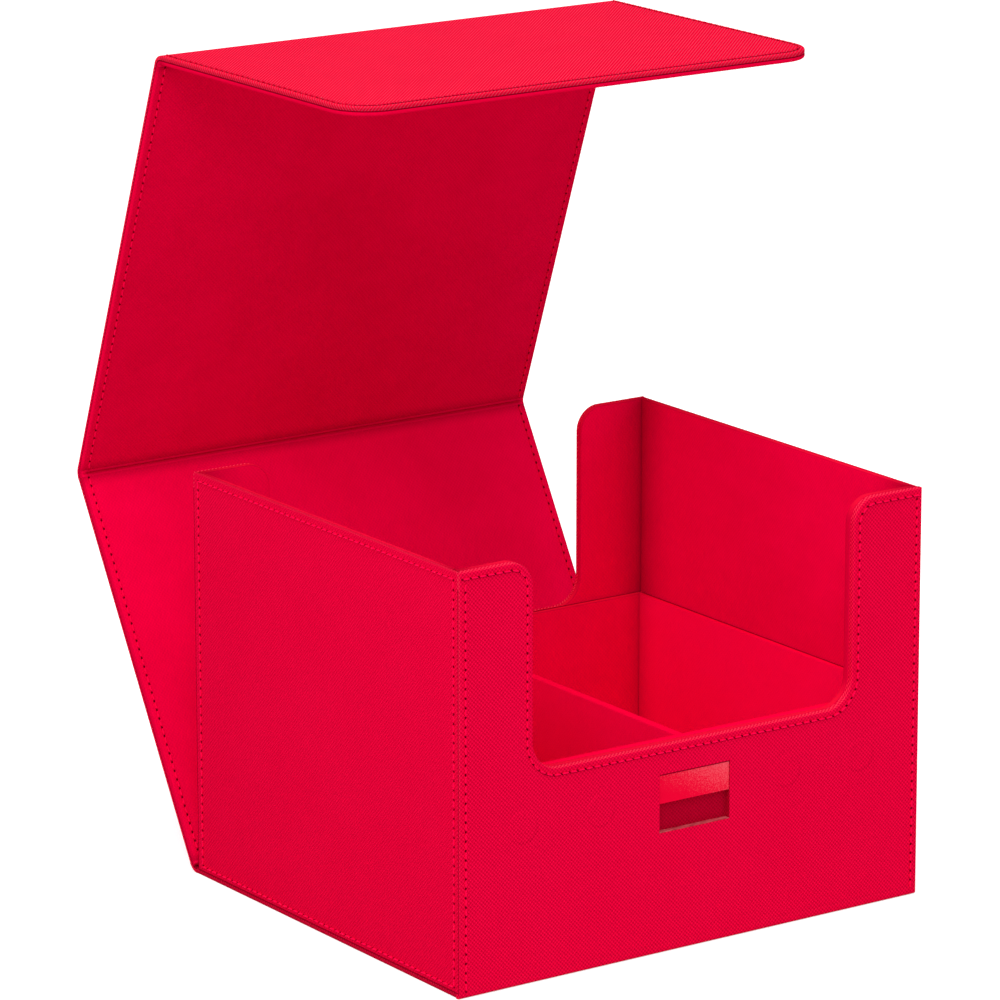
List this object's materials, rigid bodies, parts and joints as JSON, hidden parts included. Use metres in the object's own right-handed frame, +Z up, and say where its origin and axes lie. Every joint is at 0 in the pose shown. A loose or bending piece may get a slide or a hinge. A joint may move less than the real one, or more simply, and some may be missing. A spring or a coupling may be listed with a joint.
{
  "type": "card deck box",
  "caption": "Two-row card case with a wrap-around folding cover, U-shaped front and rear cut-outs, a low divided insert and a magnetic flap.",
  "frame": {"origin": "middle of the case's footprint, on the face it stands on", "axes": "+X to the right seen from the front, +Y from the front to the rear where the cover is hinged, +Z up"},
  "size_m": [0.208, 0.2579, 0.3115],
  "materials": {
    "leatherette": "fine diamond-embossed leatherette with tone-in-tone stitching",
    "suede_lining": "short-napped suede-like lining",
    "greyboard": "raw board, hidden",
    "plate_metal": "fine-blasted, anodised in the cover's colour",
    "magnet_steel": "nickel, hidden"
  },
  "bodies": {
    "case": {"bottom_skin": "leatherette", "bottom_board": "greyboard", "floor_lining": "suede_lining", "front_skin": "leatherette", "front_board": "greyboard", "front_lining": "suede_lining", "rear_skin": "leatherette", "rear_board": "greyboard", "rear_lining": "suede_lining", "left_skin": "leatherette", "left_board": "greyboard", "left_lining": "suede_lining", "right_skin": "leatherette", "right_board": "greyboard", "right_lining": "suede_lining", "insert_front": "suede_lining", "insert_rear": "suede_lining", "insert_left": "suede_lining", "insert_right": "suede_lining", "divider_left": "suede_lining", "divider_right": "suede_lining", "nameplate": "plate_metal", "front_magnets": "magnet_steel"},
    "rear_hinge": {"rear_fold": "leatherette"},
    "back_panel": {"back_skin": "leatherette", "back_board": "greyboard", "back_lining": "suede_lining"},
    "lid_hinge": {"lid_fold": "leatherette"},
    "lid_panel": {"lid_skin": "leatherette", "lid_board": "greyboard", "lid_lining": "suede_lining"},
    "flap_hinge": {"flap_fold": "leatherette"},
    "front_flap": {"flap_skin": "leatherette", "flap_board": "greyboard", "flap_lining": "suede_lining", "flap_magnets": "magnet_steel"}
  },
  "joints": [
    {"name": "rear_crease_low", "type": "hinge", "parent": "case", "child": "rear_hinge", "pos_m": [0, 0.08811, 0.0005], "axis": [1, 0, 0], "range_deg": [-30, 15]},
    {"name": "rear_crease_high", "type": "hinge", "parent": "rear_hinge", "child": "back_panel", "pos_m": [0, 0.09244, 0.003], "axis": [1, 0, 0], "range_deg": [-30, 15]},
    {"name": "lid_crease_rear", "type": "hinge", "parent": "back_panel", "child": "lid_hinge", "pos_m": [0, 0.16971, 0.13683], "axis": [1, 0, 0], "range_deg": [-25, 20]},
    {"name": "lid_crease_front", "type": "hinge", "parent": "lid_hinge", "child": "lid_panel", "pos_m": [0, 0.17014, 0.14181], "axis": [1, 0, 0], "range_deg": [-25, 20]},
    {"name": "flap_crease_rear", "type": "hinge", "parent": "lid_panel", "child": "flap_hinge", "pos_m": [0, 0.1096, 0.30816], "axis": [1, 0, 0], "range_deg": [-35, 10]},
    {"name": "flap_crease_front", "type": "hinge", "parent": "flap_hinge", "child": "front_flap", "pos_m": [0, 0.1055, 0.31103], "axis": [1, 0, 0], "range_deg": [-35, 10]}
  ]
}
